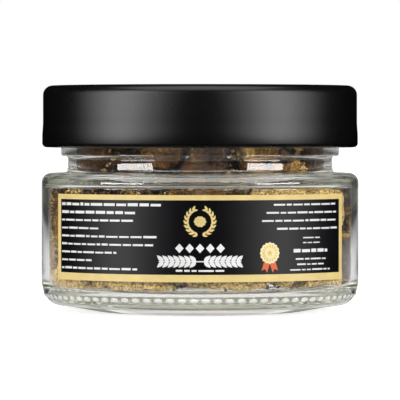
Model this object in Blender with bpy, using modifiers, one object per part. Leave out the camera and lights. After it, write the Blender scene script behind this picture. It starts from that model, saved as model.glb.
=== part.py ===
"""A wide glass jar with a deep twist-off lid, a paper label and dried black truffle slices.

The origin is on the table under the middle of the jar, +Z is up and the label faces -Y.
"""

import math
import random

import bmesh
import bpy
from mathutils import Vector

MM = 0.001
TURN_STEPS = 60
COLLECTION_NAME = "truffle_jar"

# Glass, outer side
BODY_RADIUS = 36.75 * MM
FINISH_RADIUS = 32.2 * MM
FINISH_FOOT_Z = 36.0 * MM
NECK_RADIUS = 30.7 * MM
SHOULDER_Z = 32.0 * MM
SHOULDER_CORNER = 2.25 * MM
HEEL_TOP_Z = 8.3 * MM
HEEL_FOOT_RADIUS = 32.0 * MM
HEEL_FOOT_Z = 1.5 * MM
HEEL_POWER = 2.4
BEARING_OUTER_RADIUS = 23.4 * MM
BEARING_INNER_RADIUS = 20.6 * MM
PUNT_Z = 2.0 * MM
RIM_Z = 50.45 * MM
RIM_CORNER = 1.2 * MM

# Glass, inner side
WALL = 1.55 * MM
BORE_RADIUS = 28.9 * MM
LIP_BORE_RADIUS = 29.4 * MM
FLOOR_Z = 4.6 * MM
FLOOR_CENTRE_Z = 5.3 * MM
FLOOR_CORNER = 2.6 * MM
INNER_SHOULDER_Z = 29.6 * MM
INNER_SHOULDER_CORNER = 2.0 * MM
BORE_FILLET = 1.5 * MM

# Lid
LID_TOP_Z = 52.25 * MM
LID_FOOT_Z = 37.95 * MM
LID_RADIUS = 36.4 * MM
LID_CURL_RADIUS = 36.6 * MM
LID_SHEET = 0.3 * MM
LID_CORNER = 2.2 * MM
LID_CURL_HEIGHT = 1.5 * MM
LID_CURL_WIDTH = 1.1 * MM
LID_CURL_CORNER = 1.0 * MM
LID_FLARE_TOP_Z = 44.0 * MM
LID_FLARE_FOOT_Z = 40.2 * MM
LID_PANEL_RADIUS = 31.5 * MM
LID_PANEL_DROP = 0.35 * MM

# Sealing ring
GAP = 0.3 * MM
SEAL_INNER_RADIUS = 28.8 * MM
SEAL_OUTER_RADIUS = 33.6 * MM

# Thread ridges and lugs: the lid climbs LEAD for each radian that it turns
LUG_COUNT = 4
LEAD = 2.1 * MM
RIDGE_RADIUS = 33.5 * MM
RIDGE_SPAN = math.radians(70)
RIDGE_LUG_AT = math.radians(12)
RIDGE_HEIGHT = 1.4 * MM
RIDGE_CREST = 0.8 * MM
RIDGE_ROOT = 0.35 * MM
RIDGE_SECTIONS = 11
LUG_SPAN = math.radians(10)
LUG_INNER_RADIUS = 32.75 * MM
LUG_HEIGHT = 1.05 * MM
LUG_RUN_OUT = 0.8 * MM
LUG_SECTIONS = 4
RUN_OUT_STEEPNESS = 4
RUN_OUT_END = 0.35
FIRST_LUG_ANGLE = math.radians(45)

# Label
LABEL_GAP = 0.15 * MM
LABEL_SHEET = 0.2 * MM
LABEL_LOW_Z = 8.1 * MM
LABEL_HIGH_Z = 27.5 * MM
LABEL_HALF_ANGLE = math.radians(60.6)
LABEL_STEPS = 22

# Truffle slices
SLICE_SEED = 20
SLICE_GAP = 0.22 * MM
WALL_SLICES = 31
WALL_SLICE_RADIUS = 32.3 * MM
CORE_SLICES = 7
CORE_SLICE_RADIUS = 19.5 * MM
NECK_SLICES = 13
NECK_SLICE_RADIUS = 25.2 * MM
TOP_SLICES = 4
TOP_SLICE_RADIUS = 11.0 * MM
FILL_Z = 43.6 * MM
FLATNESS = 1.7
SPREAD_TRIES = 60
NEAREST_SHARE = 0.94
FARTHEST_SHARE = 1.04
BLOCK_SIZE = 60 * MM
WALL_PLANE_STEP = math.radians(7.5)
WALL_PLANES_PER_SIDE = 9
SHORTEST_EDGE = 1.6 * MM
DEEPEST_CORNER = 0.9
SMALLEST_BEND = math.radians(8)
SOFTEST_CREASE = 0.25
HARDEST_CREASE = 0.6


def start_collection():
    """An empty collection for the jar, with everything else taken away."""
    for obj in list(bpy.data.objects):
        bpy.data.objects.remove(obj, do_unlink=True)
    collection = bpy.data.collections.new(COLLECTION_NAME)
    bpy.context.scene.collection.children.link(collection)
    return collection


def make_material(name, color, roughness, metallic=0.0, transmission=0.0):
    material = bpy.data.materials.new(name)
    material.use_nodes = True
    shader = material.node_tree.nodes["Principled BSDF"]
    shader.inputs["Base Color"].default_value = (*color, 1.0)
    shader.inputs["Roughness"].default_value = roughness
    shader.inputs["Metallic"].default_value = metallic
    shader.inputs["Transmission Weight"].default_value = transmission
    return material


def glass_material():
    return make_material("jar_glass", (0.90, 0.93, 0.89), 0.03, transmission=1.0)


def lid_material():
    return make_material("lid_lacquer", (0.012, 0.012, 0.012), 0.38, metallic=0.2)


def seal_material():
    return make_material("seal_plastisol", (0.72, 0.70, 0.66), 0.55)


def label_material():
    return make_material("label_paper", (0.010, 0.010, 0.012), 0.35)


def truffle_material():
    return make_material("dried_truffle", (0.42, 0.27, 0.14), 0.85)


def add_object(name, mesh, material, collection):
    mesh.materials.append(material)
    obj = bpy.data.objects.new(name, mesh)
    collection.objects.link(obj)
    return obj


def shade_smooth(obj, degrees=35):
    obj.data.shade_smooth()
    obj.data.set_sharp_from_angle(angle=math.radians(degrees))


def arc(centre_r, centre_z, radius, start, stop, steps):
    """Points on a round corner of a profile, from one angle to another in degrees."""
    points = []
    for step in range(steps + 1):
        angle = math.radians(start + (stop - start) * step / steps)
        points.append((centre_r + radius * math.cos(angle), centre_z + radius * math.sin(angle)))
    return points


def profile_mesh(name, points, closed=False):
    """A line of edges in the XZ plane, at +X, that a Screw modifier turns."""
    edges = [(i, i + 1) for i in range(len(points) - 1)]
    if closed:
        edges.append((len(points) - 1, 0))
    mesh = bpy.data.meshes.new(name)
    mesh.from_pydata([(r, 0.0, z) for r, z in points], edges, [])
    return mesh


def add_screw(obj, angle=math.tau, steps=TURN_STEPS):
    screw = obj.modifiers.new("Turn", "SCREW")
    screw.axis = "Z"
    screw.angle = angle
    screw.steps = steps
    screw.render_steps = steps
    screw.use_smooth_shade = True
    screw.use_merge_vertices = angle >= math.tau
    screw.merge_threshold = 0.00001


def bake(obj):
    """Replaces an object's mesh by its evaluated mesh, with no modifiers left."""
    graph = bpy.context.evaluated_depsgraph_get()
    mesh = bpy.data.meshes.new_from_object(obj.evaluated_get(graph))
    obj.modifiers.clear()
    obj.data = mesh


def join_pieces(obj, pieces, collection):
    """One Boolean union of an object with loose pieces, which are then removed."""
    group = bpy.data.collections.new(f"{obj.name}_pieces")
    bpy.context.scene.collection.children.link(group)
    for piece in pieces:
        collection.objects.unlink(piece)
        group.objects.link(piece)
    union = obj.modifiers.new("Union", "BOOLEAN")
    union.operation = "UNION"
    union.operand_type = "COLLECTION"
    union.collection = group
    union.solver = "EXACT"
    bake(obj)
    for piece in pieces:
        bpy.data.objects.remove(piece, do_unlink=True)
    bpy.data.collections.remove(group)


def loft(name, sections, material, collection):
    """A closed solid through sections with the same number of points each."""
    shape = bmesh.new()
    rings = [[shape.verts.new(point) for point in section] for section in sections]
    for ring, following in zip(rings, rings[1:]):
        for i, vertex in enumerate(ring):
            after = (i + 1) % len(ring)
            shape.faces.new((vertex, ring[after], following[after], following[i]))
    shape.faces.new(list(reversed(rings[0])))
    shape.faces.new(rings[-1])
    bmesh.ops.recalc_face_normals(shape, faces=shape.faces[:])
    mesh = bpy.data.meshes.new(name)
    shape.to_mesh(mesh)
    shape.free()
    return add_object(name, mesh, material, collection)


def around(radius, angle, z):
    return Vector((radius * math.cos(angle), radius * math.sin(angle), z))


def inner_glass_profile():
    """From the middle of the floor, out and up the inside, to the lip."""
    inner_radius = BODY_RADIUS - WALL
    points = [(0.0, FLOOR_CENTRE_Z), (0.4 * inner_radius, FLOOR_CENTRE_Z - 0.1 * MM)]
    points += [(0.7 * inner_radius, FLOOR_Z + 0.25 * MM)]
    points += arc(inner_radius - FLOOR_CORNER, FLOOR_Z + FLOOR_CORNER, FLOOR_CORNER, -90, 0, 5)
    corner_r = inner_radius - INNER_SHOULDER_CORNER
    corner_z = INNER_SHOULDER_Z - INNER_SHOULDER_CORNER
    points += arc(corner_r, corner_z, INNER_SHOULDER_CORNER, 0, 90, 4)
    points += arc(BORE_RADIUS + BORE_FILLET, INNER_SHOULDER_Z + BORE_FILLET, BORE_FILLET, 270, 180, 3)
    points += [(BORE_RADIUS, RIM_Z - 2 * RIM_CORNER)]
    return points


def rim_profile():
    points = arc(LIP_BORE_RADIUS + RIM_CORNER, RIM_Z - RIM_CORNER, RIM_CORNER, 180, 90, 3)
    points += arc(FINISH_RADIUS - RIM_CORNER, RIM_Z - RIM_CORNER, RIM_CORNER, 90, 0, 3)
    return points


def neck_profile():
    """Down from the foot of the finish to the top of the shoulder, with a slight waist."""
    step = 0.3 * MM
    waist_z = (FINISH_FOOT_Z + SHOULDER_Z) / 2
    return [
        (FINISH_RADIUS, FINISH_FOOT_Z + step),
        (FINISH_RADIUS - step, FINISH_FOOT_Z),
        (NECK_RADIUS + step, FINISH_FOOT_Z - 0.1 * MM),
        (NECK_RADIUS, FINISH_FOOT_Z - 2 * step),
        (NECK_RADIUS - 0.1 * MM, waist_z),
        (NECK_RADIUS + 0.1 * MM, SHOULDER_Z + 0.7 * MM),
        (NECK_RADIUS + 2 * step, SHOULDER_Z + 0.25 * MM),
        (NECK_RADIUS + 5 * step, SHOULDER_Z + 0.1 * MM),
    ]


def heel_profile(steps=8):
    """Down from the straight wall to the foot of the heel, on a squarish rounded curve."""
    points = []
    for step in range(steps + 1):
        angle = math.radians(90) * step / steps
        out = math.cos(angle) ** (2 / HEEL_POWER) if step < steps else 0.0
        down = math.sin(angle) ** (2 / HEEL_POWER)
        radius = HEEL_FOOT_RADIUS + (BODY_RADIUS - HEEL_FOOT_RADIUS) * out
        points.append((radius, HEEL_TOP_Z - (HEEL_TOP_Z - HEEL_FOOT_Z) * down))
    return points


def base_profile():
    """In from the heel to the flat ring that the jar stands on, and up to the hollow middle."""
    return [
        (BEARING_OUTER_RADIUS + 0.6 * MM, 0.08 * MM),
        (BEARING_OUTER_RADIUS, 0.0),
        (BEARING_INNER_RADIUS, 0.0),
        (BEARING_INNER_RADIUS - 0.7 * MM, 0.3 * MM),
        (0.85 * BEARING_INNER_RADIUS, 0.65 * PUNT_Z),
        (0.5 * BEARING_INNER_RADIUS, 0.95 * PUNT_Z),
        (0.0, PUNT_Z),
    ]


def helix_sections(start, span, count, section):
    """Sections set along the thread's helix; the ends shrink to a run-out."""
    sections = []
    for i in range(count):
        share = i / (count - 1)
        fade = min(1.0, RUN_OUT_STEEPNESS * min(share, 1 - share) + RUN_OUT_END)
        angle = start + span * share
        sections.append([around(r, angle, z) for r, z in section(angle, fade)])
    return sections


def make_ridges(material, collection):
    """The raised threads on the glass, one for each lug, which rise as they go round."""
    lug_top = LID_FOOT_Z + LID_CURL_HEIGHT

    def ridge_section(middle):
        def section(angle, fade):
            under = lug_top + GAP + LEAD * (angle - middle)
            out = FINISH_RADIUS + (RIDGE_RADIUS - FINISH_RADIUS) * fade
            slope = (RIDGE_HEIGHT - RIDGE_CREST) / 2
            root = FINISH_RADIUS - RIDGE_ROOT
            return [
                (root, under),
                (out, under + 0.3 * slope),
                (out, under + 0.3 * slope + RIDGE_CREST),
                (root, under + RIDGE_HEIGHT),
            ]

        return section

    ridges = []
    for i in range(LUG_COUNT):
        middle = FIRST_LUG_ANGLE + math.tau * i / LUG_COUNT
        start = middle - RIDGE_LUG_AT
        sections = helix_sections(start, RIDGE_SPAN, RIDGE_SECTIONS, ridge_section(middle))
        ridges.append(loft(f"ridge_{i}", sections, material, collection))
    return ridges


def make_jar(collection):
    """The glass: one turned piece with its thread ridges."""
    material = glass_material()
    points = inner_glass_profile() + rim_profile() + neck_profile()
    corner_r = BODY_RADIUS - SHOULDER_CORNER
    points += arc(corner_r, SHOULDER_Z - SHOULDER_CORNER, SHOULDER_CORNER, 90, 0, 5)
    points += heel_profile() + base_profile()
    jar = add_object("jar_glass", profile_mesh("jar_glass", points), material, collection)
    add_screw(jar)
    bake(jar)
    join_pieces(jar, make_ridges(material, collection), collection)
    shade_smooth(jar)


def make_lugs(material, collection):
    """Four short tongues that reach in from the curled rim, under the glass threads."""
    lug_top = LID_FOOT_Z + LID_CURL_HEIGHT

    def lug_section(middle):
        def section(angle, fade):
            top = lug_top + LEAD * (angle - middle)
            inner = LUG_INNER_RADIUS + LUG_RUN_OUT * (1 - fade)
            outer = LID_RADIUS - 0.5 * LID_SHEET
            return [
                (inner, top - LUG_HEIGHT),
                (outer, top - LUG_HEIGHT),
                (outer, top),
                (inner, top),
            ]

        return section

    lugs = []
    for i in range(LUG_COUNT):
        middle = FIRST_LUG_ANGLE + math.tau * i / LUG_COUNT
        start = middle - LUG_SPAN / 2
        sections = helix_sections(start, LUG_SPAN, LUG_SECTIONS, lug_section(middle))
        lugs.append(loft(f"lug_{i}", sections, material, collection))
    return lugs


def lid_profile():
    """From the middle of the top, out and down the skirt, round the curl and back inside."""
    inner = LID_RADIUS - LID_SHEET
    panel_z = LID_TOP_Z - LID_PANEL_DROP
    step = LID_PANEL_RADIUS + LID_PANEL_DROP
    corner_r = LID_RADIUS - LID_CORNER
    curl_top = LID_FOOT_Z + LID_CURL_HEIGHT
    curl_inner = LID_CURL_RADIUS - LID_CURL_WIDTH
    foot_r = LID_CURL_RADIUS - LID_CURL_CORNER
    points = [(0.0, panel_z), (LID_PANEL_RADIUS, panel_z), (step, LID_TOP_Z)]
    points += arc(corner_r, LID_TOP_Z - LID_CORNER, LID_CORNER, 90, 0, 5)
    points += [(LID_RADIUS, LID_FLARE_TOP_Z), (LID_CURL_RADIUS, LID_FLARE_FOOT_Z)]
    points += arc(foot_r, LID_FOOT_Z + LID_CURL_CORNER, LID_CURL_CORNER, 0, -90, 4)
    points += [(curl_inner, LID_FOOT_Z + 0.5 * LID_SHEET)]
    points += [(curl_inner, curl_top - LID_SHEET), (inner, curl_top)]
    points += arc(corner_r, LID_TOP_Z - LID_CORNER, LID_CORNER - LID_SHEET, 0, 90, 4)
    points += [(step, LID_TOP_Z - LID_SHEET), (LID_PANEL_RADIUS, panel_z - LID_SHEET)]
    points += [(0.0, panel_z - LID_SHEET)]
    return points


def make_lid(collection):
    """The deep black lid, drawn from sheet steel, with its lugs."""
    material = lid_material()
    lid = add_object("lid", profile_mesh("lid", lid_profile()), material, collection)
    add_screw(lid)
    bake(lid)
    join_pieces(lid, make_lugs(material, collection), collection)
    shade_smooth(lid)


def make_seal(collection):
    """The soft ring between the lid's panel and the glass rim."""
    low = RIM_Z + GAP
    high = LID_TOP_Z - LID_PANEL_DROP - LID_SHEET - GAP
    bevel = 0.2 * MM
    points = [
        (SEAL_INNER_RADIUS, high),
        (SEAL_OUTER_RADIUS, high),
        (SEAL_OUTER_RADIUS, low + bevel),
        (SEAL_OUTER_RADIUS - bevel, low),
        (SEAL_INNER_RADIUS + bevel, low),
        (SEAL_INNER_RADIUS, low + bevel),
    ]
    mesh = profile_mesh("lid_seal", points, closed=True)
    seal = add_object("lid_seal", mesh, seal_material(), collection)
    add_screw(seal)


def make_label(collection):
    """The paper label: an open curved strip, thickened outwards, that faces -Y."""
    radius = BODY_RADIUS + LABEL_GAP
    mesh = profile_mesh("label", [(radius, LABEL_HIGH_Z), (radius, LABEL_LOW_Z)])
    label = add_object("label", mesh, label_material(), collection)
    label.rotation_euler.z = -math.pi / 2 - LABEL_HALF_ANGLE
    add_screw(label, 2 * LABEL_HALF_ANGLE, LABEL_STEPS)
    sheet = label.modifiers.new("Sheet", "SOLIDIFY")
    sheet.thickness = LABEL_SHEET
    sheet.offset = 1.0


def room_round(point, others):
    """How far a point is from the nearest other; height counts for more than width."""
    return min(
        (math.hypot((point.xy - other.xy).length, FLATNESS * (point.z - other.z)) for other in others),
        default=math.inf,
    )


def spread(draw, count, radius, low, high):
    """Seed points near a cylinder, each the loneliest of a few random ones."""
    points = []
    while len(points) < count:
        tries = []
        while len(tries) < SPREAD_TRIES:
            angle = draw.uniform(0, math.tau)
            reach = radius * draw.uniform(NEAREST_SHARE, FARTHEST_SHARE)
            tries.append(around(reach, angle, draw.uniform(low, high)))
        points.append(max(tries, key=lambda point: room_round(point, points)))
    return points


def slice_seeds(draw):
    """Where the slices sit: a layer along the wall, a core, a layer in the neck and a top."""
    inner_top = INNER_SHOULDER_Z
    wall = spread(draw, WALL_SLICES, WALL_SLICE_RADIUS, FLOOR_Z + 3 * MM, inner_top - 3 * MM)
    core = spread(draw, CORE_SLICES, CORE_SLICE_RADIUS, FLOOR_Z + 5 * MM, inner_top - 4 * MM)
    neck = spread(draw, NECK_SLICES, NECK_SLICE_RADIUS, inner_top + 3 * MM, FILL_Z - 3.5 * MM)
    top = spread(draw, TOP_SLICES, TOP_SLICE_RADIUS, inner_top + 4 * MM, FILL_Z - 5 * MM)
    return [(seed, "wall") for seed in wall + core] + [(seed, "neck") for seed in neck + top]


def room_planes(zone, seed):
    """Planes that keep a slice inside the glass, as (point, outward direction)."""
    inner_radius = BODY_RADIUS - WALL - GAP
    if zone == "neck":
        inner_radius = BORE_RADIUS - GAP
    planes = []
    facing = math.atan2(seed.y, seed.x)
    for step in range(-WALL_PLANES_PER_SIDE, WALL_PLANES_PER_SIDE + 1):
        angle = facing + WALL_PLANE_STEP * step
        outward = around(1.0, angle, 0.0)
        planes.append((outward * inner_radius, outward))
        if zone == "wall":
            planes.append(corner_plane(angle, FLOOR_Z + FLOOR_CORNER, FLOOR_CORNER, -1))
            top = INNER_SHOULDER_Z - INNER_SHOULDER_CORNER
            planes.append(corner_plane(angle, top, INNER_SHOULDER_CORNER, 1))
    low = FLOOR_CENTRE_Z + GAP if zone == "wall" else INNER_SHOULDER_Z + SLICE_GAP
    high = INNER_SHOULDER_Z - GAP if zone == "wall" else FILL_Z
    planes.append((Vector((0, 0, low)), Vector((0, 0, -1))))
    planes.append((Vector((0, 0, high)), Vector((0, 0, 1))))
    return planes


def corner_plane(angle, centre_z, corner, side):
    """The slanted plane that cuts a slice back from a rounded corner of the glass."""
    centre = around(BODY_RADIUS - WALL - corner, angle, centre_z)
    outward = around(1.0, angle, side).normalized()
    return (centre + outward * (corner - GAP), outward)


def cut_cell(seed, planes):
    """A block round the seed, cut by each plane in turn."""
    cell = bmesh.new()
    bmesh.ops.create_cube(cell, size=BLOCK_SIZE)
    bmesh.ops.translate(cell, vec=seed, verts=cell.verts[:])
    for point, outward in planes:
        geometry = cell.verts[:] + cell.edges[:] + cell.faces[:]
        cut = bmesh.ops.bisect_plane(
            cell, geom=geometry, dist=1e-7, plane_co=point, plane_no=outward, clear_outer=True
        )
        edges = [item for item in cut["geom_cut"] if isinstance(item, bmesh.types.BMEdge)]
        open_edges = [edge for edge in edges if edge.is_valid and edge.is_boundary]
        if len(open_edges) > 2:
            bmesh.ops.edgeloop_fill(cell, edges=open_edges)
    return cell


def neighbour_planes(seed, zone, seeds):
    """Planes half way to the other slices of the same zone, nearest first."""
    planes = []
    for other, other_zone in seeds:
        if other_zone != zone or other is seed:
            continue
        away = other - seed
        outward = away.normalized()
        planes.append((seed + away / 2 - outward * SLICE_GAP, outward))
    return sorted(planes, key=lambda plane: (plane[0] - seed).length)


def soften(cell, draw):
    """Drops the shortest edges, draws some corners in and gives the edges uneven creases."""
    bmesh.ops.remove_doubles(cell, verts=cell.verts[:], dist=SHORTEST_EDGE)
    middle = sum((vertex.co for vertex in cell.verts), Vector()) / len(cell.verts)
    corners = [middle.lerp(vertex.co, draw.uniform(DEEPEST_CORNER, 1.0)) for vertex in cell.verts]
    hull = bmesh.new()
    for corner in corners:
        hull.verts.new(corner)
    made = bmesh.ops.convex_hull(hull, input=hull.verts[:])
    unused = [item for item in made["geom_interior"] if isinstance(item, bmesh.types.BMVert)]
    bmesh.ops.delete(hull, geom=unused, context="VERTS")
    bmesh.ops.dissolve_limit(
        hull, angle_limit=SMALLEST_BEND, verts=hull.verts[:], edges=hull.edges[:]
    )
    crease = hull.edges.layers.float.new("crease_edge")
    for edge in hull.edges:
        edge[crease] = draw.uniform(SOFTEST_CREASE, HARDEST_CREASE)
    bmesh.ops.recalc_face_normals(hull, faces=hull.faces[:])
    if hull.calc_volume(signed=True) < 0:
        bmesh.ops.reverse_faces(hull, faces=hull.faces[:])
    cell.free()
    return hull


def make_slices(collection):
    """The dried truffle pieces: cells between seed points, rounded, packed in the jar."""
    material = truffle_material()
    draw = random.Random(SLICE_SEED)
    seeds = slice_seeds(draw)
    for number, (seed, zone) in enumerate(seeds, start=1):
        planes = neighbour_planes(seed, zone, seeds) + room_planes(zone, seed)
        piece = soften(cut_cell(seed, planes), draw)
        name = f"truffle_slice_{number:02d}"
        mesh = bpy.data.meshes.new(name)
        piece.to_mesh(mesh)
        piece.free()
        obj = add_object(name, mesh, material, collection)
        rounding = obj.modifiers.new("Rounding", "SUBSURF")
        rounding.levels = 1
        rounding.render_levels = 1


def main():
    collection = start_collection()
    make_jar(collection)
    make_lid(collection)
    make_seal(collection)
    make_label(collection)
    make_slices(collection)


main()
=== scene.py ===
"""The looks of a jar of dried black truffle slices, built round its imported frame.

Lengths are in metres, +Z is up and the label faces -Y. The jar, lid, seal and label repeat the
solids' real sizes, and each truffle slice starts from its own solid.
"""

import math
import random

import bmesh
import bpy
import numpy as np
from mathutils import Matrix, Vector, noise
from mathutils.bvhtree import BVHTree


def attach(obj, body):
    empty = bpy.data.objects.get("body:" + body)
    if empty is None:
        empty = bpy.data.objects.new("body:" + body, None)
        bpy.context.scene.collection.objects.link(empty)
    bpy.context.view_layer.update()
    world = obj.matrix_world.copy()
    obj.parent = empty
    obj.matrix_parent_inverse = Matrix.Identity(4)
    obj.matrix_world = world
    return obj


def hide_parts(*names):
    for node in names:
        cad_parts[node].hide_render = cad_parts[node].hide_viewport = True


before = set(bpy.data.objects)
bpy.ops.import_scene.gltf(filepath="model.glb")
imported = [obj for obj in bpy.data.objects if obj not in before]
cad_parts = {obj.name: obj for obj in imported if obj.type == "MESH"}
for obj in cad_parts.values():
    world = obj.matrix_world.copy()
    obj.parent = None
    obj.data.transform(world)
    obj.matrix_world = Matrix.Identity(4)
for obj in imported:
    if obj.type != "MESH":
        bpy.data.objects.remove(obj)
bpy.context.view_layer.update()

MM = 0.001

# Glass, outer side
BODY_RADIUS = 36.75 * MM
FINISH_RADIUS = 32.2 * MM
FINISH_FOOT_Z = 36.0 * MM
NECK_RADIUS = 30.6 * MM
NECK_WAIST_Z = 35.1 * MM
NECK_HOLLOW = 14.0 * MM
SHOULDER_Z = 32.0 * MM
SHOULDER_CORNER = 2.25 * MM
HEEL_TOP_Z = 8.3 * MM
HEEL_FOOT_RADIUS = 32.0 * MM
HEEL_FOOT_Z = 1.5 * MM
HEEL_POWER = 2.4
BEARING_OUTER_RADIUS = 23.4 * MM
BEARING_INNER_RADIUS = 20.6 * MM
PUNT_Z = 2.0 * MM
RIM_Z = 50.45 * MM
RIM_CORNER = 1.2 * MM

# Glass, inner side
WALL = 1.55 * MM
BORE_RADIUS = 28.9 * MM
LIP_BORE_RADIUS = 29.4 * MM
FLOOR_Z = 4.6 * MM
FLOOR_CENTRE_Z = 5.3 * MM
FLOOR_CORNER = 2.6 * MM
INNER_SHOULDER_Z = 29.6 * MM
INNER_SHOULDER_CORNER = 1.0 * MM
BORE_FILLET = 1.5 * MM
GLASS_IOR = 1.5
GLASS_TINT = (0.83, 0.845, 0.75, 1.0)
GLASS_DENSITY = 26.0

# Relief on the glass: GLASS_STEPS is a multiple of MARK_COUNT, so that all marks come out alike
GLASS_STEPS = 504
MARK_COUNT = 84
MARK_HEIGHT = 0.22 * MM
MARK_Z = 3.85 * MM
MARK_HALF_TALL = 0.56 * MM
MARK_HALF_WIDTH = 0.41
LUG_COUNT = 4
LEAD = 2.1 * MM
RIDGE_RADIUS = 33.5 * MM
RIDGE_SPAN = math.radians(70)
RIDGE_LUG_AT = math.radians(12)
RIDGE_HEIGHT = 1.4 * MM
FIRST_LUG_ANGLE = math.radians(45)
GAP = 0.3 * MM

# Lid
LID_STEPS = 240
LID_TOP_Z = 52.25 * MM
LID_FOOT_Z = 37.95 * MM
LID_RADIUS = 36.4 * MM
LID_CURL_RADIUS = 36.6 * MM
LID_SHEET = 0.3 * MM
LID_CORNER = 2.2 * MM
LID_CURL_HEIGHT = 1.5 * MM
LID_CURL_WIDTH = 1.1 * MM
LID_CURL_CORNER = 1.0 * MM
LID_FLARE_TOP_Z = 44.0 * MM
LID_FLARE_FOOT_Z = 40.2 * MM
LID_PANEL_RADIUS = 31.5 * MM
LID_PANEL_DROP = 0.35 * MM
LID_BARREL_RADIUS = 50.0 * MM
LID_PEEL = 0.004 * MM
PEEL_SCALE = 900.0
SMUDGE_SCALE = 120.0
LACQUER_BLACK = (0.002, 0.002, 0.002)
LUG_SPAN = math.radians(10)
LUG_INNER_RADIUS = 32.75 * MM
LUG_HEIGHT = 1.05 * MM
SEAL_INNER_RADIUS = 28.8 * MM
SEAL_OUTER_RADIUS = 33.6 * MM

# Label, laid out flat as across and up from the middle of its foot
LABEL_INNER_RADIUS = 36.84 * MM
LABEL_RADIUS = 37.02 * MM
PRINT_LIFT = 0.02 * MM
PRINT_INNER = LABEL_RADIUS + PRINT_LIFT
PRINT_OUTER = PRINT_INNER + PRINT_LIFT
LABEL_LOW_Z = 8.1 * MM
LABEL_HIGH_Z = 27.5 * MM
LABEL_HALF_WIDTH = 39.15 * MM
BORDER_TOP = 1.15 * MM
BORDER_FOOT = 1.65 * MM
BORDER_SIDE = 1.45 * MM
LABEL_STEP = 0.8 * MM
TEXT_LEFT = -37.2 * MM
TEXT_RIGHT = 36.7 * MM
TEXT_TOP = 17.2 * MM
TEXT_PITCH = 1.8 * MM

# Rows of bars on the label, in mm: (width, height), then width, then (up, width, height)
LEFT_ROWS = (
    (28.4, 0.75), (22.3, 0.72), (21.8, 0.5), (12.6, 0.5), (28.2, 0.52), (26.6, 0.5),
    (17.6, 0.5), (10.6, 0.5), (22.8, 0.55),
)
RIGHT_ROWS = (19.6, 21.4, 22.5, 18.8)
LOW_ROWS = (
    (9.7, 5.2, 0.3), (8.6, 5.2, 0.3), (6.8, 10.6, 0.85),
    (4.95, 9.4, 0.4), (3.75, 8.6, 0.4), (2.55, 12.4, 0.4),
)
LOW_ROWS_MIDDLE = 27.6 * MM

# Truffle
SLICE_SEED = 7
CRUMB_SEED = 11
CRUMB_TRIES = 20000
CRUMB_LIMIT = 2000
CRUMB_TOP_Z = 43.0 * MM
CRUMB_PATCH = 6.5 * MM
CRUMB_SINK = 0.3 * MM
CRUMB_CLEAR = 0.1 * MM
NEAREST_CRUMB = 0.2 * MM
FARTHEST_CRUMB = 1.6 * MM
CRUMB_BANDS = (
    (FLOOR_Z, INNER_SHOULDER_Z),
    (FLOOR_Z, INNER_SHOULDER_Z),
    (INNER_SHOULDER_Z - 3 * MM, INNER_SHOULDER_Z),
    (INNER_SHOULDER_Z, CRUMB_TOP_Z),
)
PRESS_GAP = 0.16 * MM
PRESS_REACH = 1.4 * MM
SLICE_LEVELS = 2
SAW_DEPTH = 1.4 * MM
SAWN_EDGE = 0.25 * MM
LUMP_SIZE = 5.5 * MM
BREAK_SIZE = 1.5 * MM
GRAIN_SIZE = 0.55 * MM
RIND_SIZE = 9.0 * MM
WART_SIZE = 2.3 * MM
# Painted shade: how far the tone of slices in the neck, under the lid, is lowered
NECK_PAINTED_SHADE = 0.42
TONES = (0.25, 0.4, 0.5, 0.55, 0.65, 0.7, 0.75, 0.8)
BROWN_TONES = (0.2, 0.3, 0.4, 0.5)
GOLDEN_TONES = (0.85, 0.9, 0.95)
GOLDEN_REACH = 12.0 * MM
BESIDE_LABEL = 20.0 * MM

# Middles of the golden places: degrees to the right of the label's middle, and height in mm.
# The two above the label at -19 and 20 degrees lie where the softboxes reflect in the glass, so
# there the golden colour is partly a painted reflection
GOLDEN_AND_REFLECTION_SPOTS = ((-19, 27), (20, 27), (46, 26), (-5, 8), (27, 8), (44, 8), (-45, 8))

# Lights: each softbox is cards as distance, width and glow, brightest in its middle
SOFTBOX_TURN = math.radians(58)
SOFTBOX_HEIGHT = 0.26
SOFTBOX_TALL = 0.9
SOFTBOX_CARDS = ((0.80, 0.28, 1.0), (0.82, 0.58, 1.1), (0.84, 1.0, 0.9), (0.86, 1.5, 0.4))
STRIP_DISTANCE = 0.8
STRIP_WIDTH = 0.5
STRIP_TALL = 0.18
STRIP_HEIGHT = 0.18
STRIP_GLOW = 16.0
FLOOR_REACH = 30.0
FLOOR_GLOW = 0.45
FLOOR_WHITE = 0.7
FLOOR_SIDE = (0.12, 0.4)
SIDE_SHARE = 0.3
LIGHT_BOUNCES = 24

# Cards as place, width, height and glow
BACK_FILL = ((0.0, 0.9, 0.4), 1.4, 0.8, 2.0)
LID_TOP_LIGHT = ((0.0, -0.1, 0.9), 1.0, 0.8, 1.3)
GLASS_CARDS = (
    ("back_card", (0.0, 1.6, 0.5), 1.2, 2.0, 0.25),
    ("front_card", (0.0, -1.6, 0.5), 3.4, 2.0, 0.1),
    ("left_card", (-1.6, 0.0, 0.5), 3.4, 2.0, 0.05),
    ("right_card", (1.6, 0.0, 0.5), 3.4, 2.0, 0.1),
    ("floor_card", (0.0, 0.0, -0.3), 3.0, 3.0, 0.9),
    ("top_card", (0.0, -0.4, 0.8), 2.0, 1.2, 6.0),
)

# Camera, at the photo's angle: far enough for the flat look of a long lens
CAMERA_DISTANCE = 24 * BODY_RADIUS
EYE_Z = 43.1 * MM
AIM_Z = 25.7 * MM
LENS_MM = 342.0
SENSOR_MM = 36.0


def add_object(name, mesh, material):
    mesh.materials.append(material)
    obj = bpy.data.objects.new(name, mesh)
    bpy.context.scene.collection.objects.link(obj)
    return obj


def arc(centre_r, centre_z, radius, start, stop, steps):
    """Points on a round corner of a profile, from one angle to another in degrees."""
    points = []
    for step in range(steps + 1):
        angle = math.radians(start + (stop - start) * step / steps)
        points.append((centre_r + radius * math.cos(angle), centre_z + radius * math.sin(angle)))
    return points


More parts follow.
